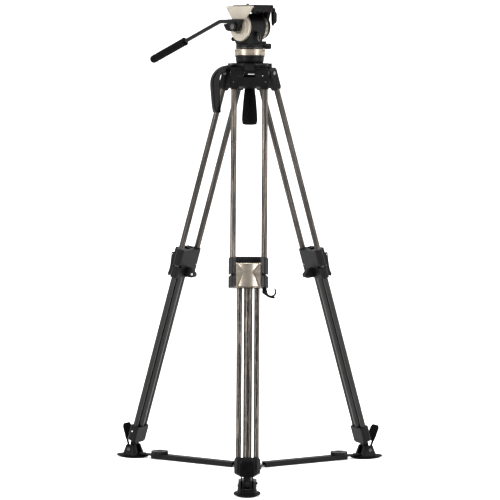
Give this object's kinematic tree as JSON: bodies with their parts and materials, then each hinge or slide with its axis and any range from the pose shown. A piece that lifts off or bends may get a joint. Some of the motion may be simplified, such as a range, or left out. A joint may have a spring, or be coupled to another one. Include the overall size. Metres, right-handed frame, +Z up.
{
  "type": "video tripod with fluid head",
  "caption": "Professional video tripod with twin-tube carbon legs, a 100 mm bowl, a ground spreader and a fluid head with a pan handle.",
  "frame": {"origin": "on the ground under the middle of the bowl, at the flat underside of the spreader's hub", "axes": "+Z up, -Y along the front leg as seen from above, +X to the right of the front view, metres"},
  "size_m": [0.9818, 0.8637, 1.6595],
  "materials": {
    "casting_black": "satin black powder coat with a fine grain",
    "collar_grey": "satin dark grey with a fine grain",
    "champagne": "brushed and anodised light champagne",
    "ring_champagne": "turned and anodised champagne, with dark ticks",
    "carbon_upper": "clear-coated brown-grey carbon with long streaks",
    "carbon_lower_front": "clear-coated taupe carbon with a wavy figure",
    "carbon_lower_back": "clear-coated near-black carbon",
    "moulded_black": "fine-grained moulded plastic",
    "rubber_black": "matt rubber with a light bloom",
    "steel_bright": "turned steel",
    "handle_tube": "satin black tube",
    "button_red": "smooth dark red moulding"
  },
  "bodies": {
    "crown": {"crown": "casting_black", "leg_pins": "steel_bright", "carry_handle": "casting_black"},
    "cup": {"clamp_cup": "casting_black"},
    "ball": {"half_ball": "casting_black"},
    "tie_down": {"tie_handle": "rubber_black"},
    "pan_ring": {"pan_ring": "ring_champagne"},
    "pan": {"pan_housing": "casting_black"},
    "pan_lock": {"pan_lock": "moulded_black"},
    "tilt_lock": {"tilt_lock": "steel_bright"},
    "counterbalance": {"counterbalance_dial": "moulded_black"},
    "tilt_ring": {"tilt_ring": "ring_champagne"},
    "tilt": {"tilt_plate": "champagne", "far_cheek": "casting_black", "platform": "casting_black"},
    "camera_plate": {"camera_plate": "casting_black"},
    "plate_lever": {"plate_lever": "moulded_black"},
    "release_button": {"release_button": "button_red"},
    "handle": {"handle_clamp": "moulded_black", "pan_handle": "handle_tube", "handle_grip": "rubber_black"},
    "handle_knob": {"handle_knob": "moulded_black"},
    "leg_front": {"yoke_front": "casting_black", "upper_tubes_front": "carbon_upper", "collar_front": "collar_grey", "cable_hook": "moulded_black"},
    "collar_lever_front": {"collar_lever_front": "champagne"},
    "lower_front": {"lower_tubes_front": "carbon_lower_front", "boot_front": "casting_black"},
    "foot_front": {"foot_front": "moulded_black", "pad_front": "rubber_black"},
    "foot_lever_front": {"foot_lever_front": "rubber_black"},
    "arm_front": {"arm_front": "moulded_black"},
    "arm_knob_front": {"arm_knob_front": "rubber_black"},
    "tongue_front": {"tongue_front": "steel_bright", "hub": "moulded_black"},
    "leg_left": {"yoke_left": "casting_black", "upper_tubes_left": "carbon_upper", "collar_left": "casting_black"},
    "collar_lever_left": {"collar_lever_left": "casting_black"},
    "lower_left": {"lower_tubes_left": "carbon_lower_back", "boot_left": "casting_black"},
    "foot_left": {"foot_left": "moulded_black", "pad_left": "rubber_black"},
    "foot_lever_left": {"foot_lever_left": "rubber_black"},
    "arm_left": {"arm_left": "moulded_black"},
    "arm_knob_left": {"arm_knob_left": "rubber_black"},
    "tongue_left": {"tongue_left": "steel_bright"},
    "leg_right": {"yoke_right": "casting_black", "upper_tubes_right": "carbon_upper", "collar_right": "casting_black"},
    "collar_lever_right": {"collar_lever_right": "casting_black"},
    "lower_right": {"lower_tubes_right": "carbon_lower_back", "boot_right": "casting_black"},
    "foot_right": {"foot_right": "moulded_black", "pad_right": "rubber_black"},
    "foot_lever_right": {"foot_lever_right": "rubber_black"},
    "arm_right": {"arm_right": "moulded_black"},
    "arm_knob_right": {"arm_knob_right": "rubber_black"},
    "tongue_right": {"tongue_right": "steel_bright"}
  },
  "joints": [
    {"name": "level_side", "type": "hinge", "parent": "crown", "child": "cup", "pos_m": [0, 0, 1.467], "axis": [1, 0, 0], "range_deg": [-8, 8]},
    {"name": "level_fore", "type": "hinge", "parent": "cup", "child": "ball", "pos_m": [0, 0, 1.467], "axis": [0, 1, 0], "range_deg": [-8, 8]},
    {"name": "tie_down_turn", "type": "hinge", "parent": "ball", "child": "tie_down", "pos_m": [0, 0, 1.37], "axis": [0, 0, 1], "continuous": true},
    {"name": "pan_drag", "type": "hinge", "parent": "ball", "child": "pan_ring", "pos_m": [0, 0, 1.488], "axis": [0, 0, 1], "continuous": true},
    {"name": "pan_turn", "type": "hinge", "parent": "ball", "child": "pan", "pos_m": [0, 0, 1.488], "axis": [0, 0, 1], "continuous": true},
    {"name": "pan_lock_turn", "type": "hinge", "parent": "pan", "child": "pan_lock", "pos_m": [0.06, 0, 1.50915], "axis": [1, 0, 0], "continuous": true},
    {"name": "tilt_lock_turn", "type": "hinge", "parent": "pan", "child": "tilt_lock", "pos_m": [0.02868, -0.04018, 1.5515], "axis": [0.6756, -0.7373, 0], "range_deg": [-60, 60]},
    {"name": "counterbalance_turn", "type": "hinge", "parent": "pan", "child": "counterbalance", "pos_m": [-0.05811, 0.03085, 1.5345], "axis": [0.6756, -0.7373, 0], "continuous": true},
    {"name": "tilt_drag", "type": "hinge", "parent": "pan", "child": "tilt_ring", "pos_m": [0.02875, 0.02635, 1.5775], "axis": [0.7373, 0.6756, 0], "continuous": true},
    {"name": "tilt_turn", "type": "hinge", "parent": "pan", "child": "tilt", "pos_m": [0, 0, 1.5775], "axis": [0.7373, 0.6756, 0], "range_deg": [-45, 75]},
    {"name": "plate_slide", "type": "slide", "parent": "tilt", "child": "camera_plate", "axis": [0.6756, -0.7373, 0], "range_m": [-0.02, 0.03]},
    {"name": "plate_lever_turn", "type": "hinge", "parent": "tilt", "child": "plate_lever", "pos_m": [0.07937, 0.0022, 1.6365], "axis": [0.7373, 0.6756, 0], "range_deg": [-50, 40]},
    {"name": "release_press", "type": "slide", "parent": "tilt", "child": "release_button", "axis": [-0.6756, 0.7373, 0], "range_m": [0, 0.002], "stiffness_N_per_m": 300},
    {"name": "handle_tilt", "type": "hinge", "parent": "tilt", "child": "handle", "pos_m": [-0.04792, -0.04391, 1.5775], "axis": [0.7373, 0.6756, 0], "range_deg": [-20, 30]},
    {"name": "handle_knob_turn", "type": "hinge", "parent": "handle", "child": "handle_knob", "pos_m": [-0.05898, -0.05405, 1.5775], "axis": [0.7373, 0.6756, 0], "continuous": true},
    {"name": "leg_spread_front", "type": "hinge", "parent": "crown", "child": "leg_front", "pos_m": [0, -0.0615, 1.415], "axis": [1, 0, 0], "range_deg": [-8, 0]},
    {"name": "collar_lever_turn_front", "type": "hinge", "parent": "leg_front", "child": "collar_lever_front", "pos_m": [0, -0.29542, 0.76379], "axis": [-1, 0, 0], "range_deg": [0, 95]},
    {"name": "leg_extend_front", "type": "slide", "parent": "leg_front", "child": "lower_front", "axis": [0, 0.2884, 0.9575], "range_m": [0, 0.075]},
    {"name": "ankle_front", "type": "hinge", "parent": "lower_front", "child": "foot_front", "pos_m": [0, -0.49466, 0.03112], "axis": [1, 0, 0], "range_deg": [0, 8]},
    {"name": "foot_lever_turn_front", "type": "hinge", "parent": "foot_front", "child": "foot_lever_front", "pos_m": [0, -0.49466, 0.03112], "axis": [1, 0, 0], "range_deg": [0, 50]},
    {"name": "arm_slide_front", "type": "slide", "parent": "foot_front", "child": "arm_front", "axis": [0, 1, 0], "range_m": [0, 0.1894]},
    {"name": "arm_reach_front", "type": "slide", "parent": "arm_front", "child": "tongue_front", "axis": [0, -1, 0], "range_m": [0, 0.024]},
    {"name": "arm_knob_turn_front", "type": "hinge", "parent": "arm_front", "child": "arm_knob_front", "pos_m": [0, -0.379, 0.025], "axis": [0, 0, 1], "continuous": true},
    {"name": "leg_spread_left", "type": "hinge", "parent": "crown", "child": "leg_left", "pos_m": [-0.05326, 0.03075, 1.415], "axis": [-0.5, -0.866, 0], "range_deg": [-8, 0]},
    {"name": "collar_lever_turn_left", "type": "hinge", "parent": "leg_left", "child": "collar_lever_left", "pos_m": [-0.25584, 0.14771, 0.76379], "axis": [0.5, 0.866, 0], "range_deg": [0, 95]},
    {"name": "leg_extend_left", "type": "slide", "parent": "leg_left", "child": "lower_left", "axis": [0.2497, -0.1442, 0.9575], "range_m": [0, 0.075]},
    {"name": "ankle_left", "type": "hinge", "parent": "lower_left", "child": "foot_left", "pos_m": [-0.42839, 0.24733, 0.03112], "axis": [-0.5, -0.866, 0], "range_deg": [0, 8]},
    {"name": "foot_lever_turn_left", "type": "hinge", "parent": "foot_left", "child": "foot_lever_left", "pos_m": [-0.42839, 0.24733, 0.03112], "axis": [-0.5, -0.866, 0], "range_deg": [0, 50]},
    {"name": "arm_slide_left", "type": "slide", "parent": "foot_left", "child": "arm_left", "axis": [0.866, -0.5, 0], "range_m": [0, 0.1894]},
    {"name": "arm_reach_left", "type": "slide", "parent": "arm_left", "child": "tongue_left", "axis": [-0.866, 0.5, 0], "range_m": [0, 0.024]},
    {"name": "arm_knob_turn_left", "type": "hinge", "parent": "arm_left", "child": "arm_knob_left", "pos_m": [-0.32822, 0.1895, 0.025], "axis": [0, 0, 1], "continuous": true},
    {"name": "leg_spread_right", "type": "hinge", "parent": "crown", "child": "leg_right", "pos_m": [0.05326, 0.03075, 1.415], "axis": [-0.5, 0.866, 0], "range_deg": [-8, 0]},
    {"name": "collar_lever_turn_right", "type": "hinge", "parent": "leg_right", "child": "collar_lever_right", "pos_m": [0.25584, 0.14771, 0.76379], "axis": [0.5, -0.866, 0], "range_deg": [0, 95]},
    {"name": "leg_extend_right", "type": "slide", "parent": "leg_right", "child": "lower_right", "axis": [-0.2497, -0.1442, 0.9575], "range_m": [0, 0.075]},
    {"name": "ankle_right", "type": "hinge", "parent": "lower_right", "child": "foot_right", "pos_m": [0.42839, 0.24733, 0.03112], "axis": [-0.5, 0.866, 0], "range_deg": [0, 8]},
    {"name": "foot_lever_turn_right", "type": "hinge", "parent": "foot_right", "child": "foot_lever_right", "pos_m": [0.42839, 0.24733, 0.03112], "axis": [-0.5, 0.866, 0], "range_deg": [0, 50]},
    {"name": "arm_slide_right", "type": "slide", "parent": "foot_right", "child": "arm_right", "axis": [-0.866, -0.5, 0], "range_m": [0, 0.1894]},
    {"name": "arm_reach_right", "type": "slide", "parent": "arm_right", "child": "tongue_right", "axis": [0.866, 0.5, 0], "range_m": [0, 0.024]},
    {"name": "arm_knob_turn_right", "type": "hinge", "parent": "arm_right", "child": "arm_knob_right", "pos_m": [0.32822, 0.1895, 0.025], "axis": [0, 0, 1], "continuous": true}
  ],
  "couplings": [
    {"joint": "ankle_front", "follows": "leg_spread_front", "ratio": -1},
    {"joint": "arm_slide_front", "follows": "leg_spread_front", "m_per_rad": -1.3492},
    {"joint": "arm_reach_front", "follows": "leg_extend_front", "ratio": 0.28836},
    {"joint": "leg_spread_left", "follows": "leg_spread_front", "ratio": 1},
    {"joint": "leg_extend_left", "follows": "leg_extend_front", "ratio": 1},
    {"joint": "ankle_left", "follows": "leg_spread_front", "ratio": -1},
    {"joint": "arm_slide_left", "follows": "leg_spread_front", "m_per_rad": -1.3492},
    {"joint": "arm_reach_left", "follows": "leg_extend_front", "ratio": 0.28836},
    {"joint": "leg_spread_right", "follows": "leg_spread_front", "ratio": 1},
    {"joint": "leg_extend_right", "follows": "leg_extend_front", "ratio": 1},
    {"joint": "ankle_right", "follows": "leg_spread_front", "ratio": -1},
    {"joint": "arm_slide_right", "follows": "leg_spread_front", "m_per_rad": -1.3492},
    {"joint": "arm_reach_right", "follows": "leg_extend_front", "ratio": 0.28836}
  ]
}
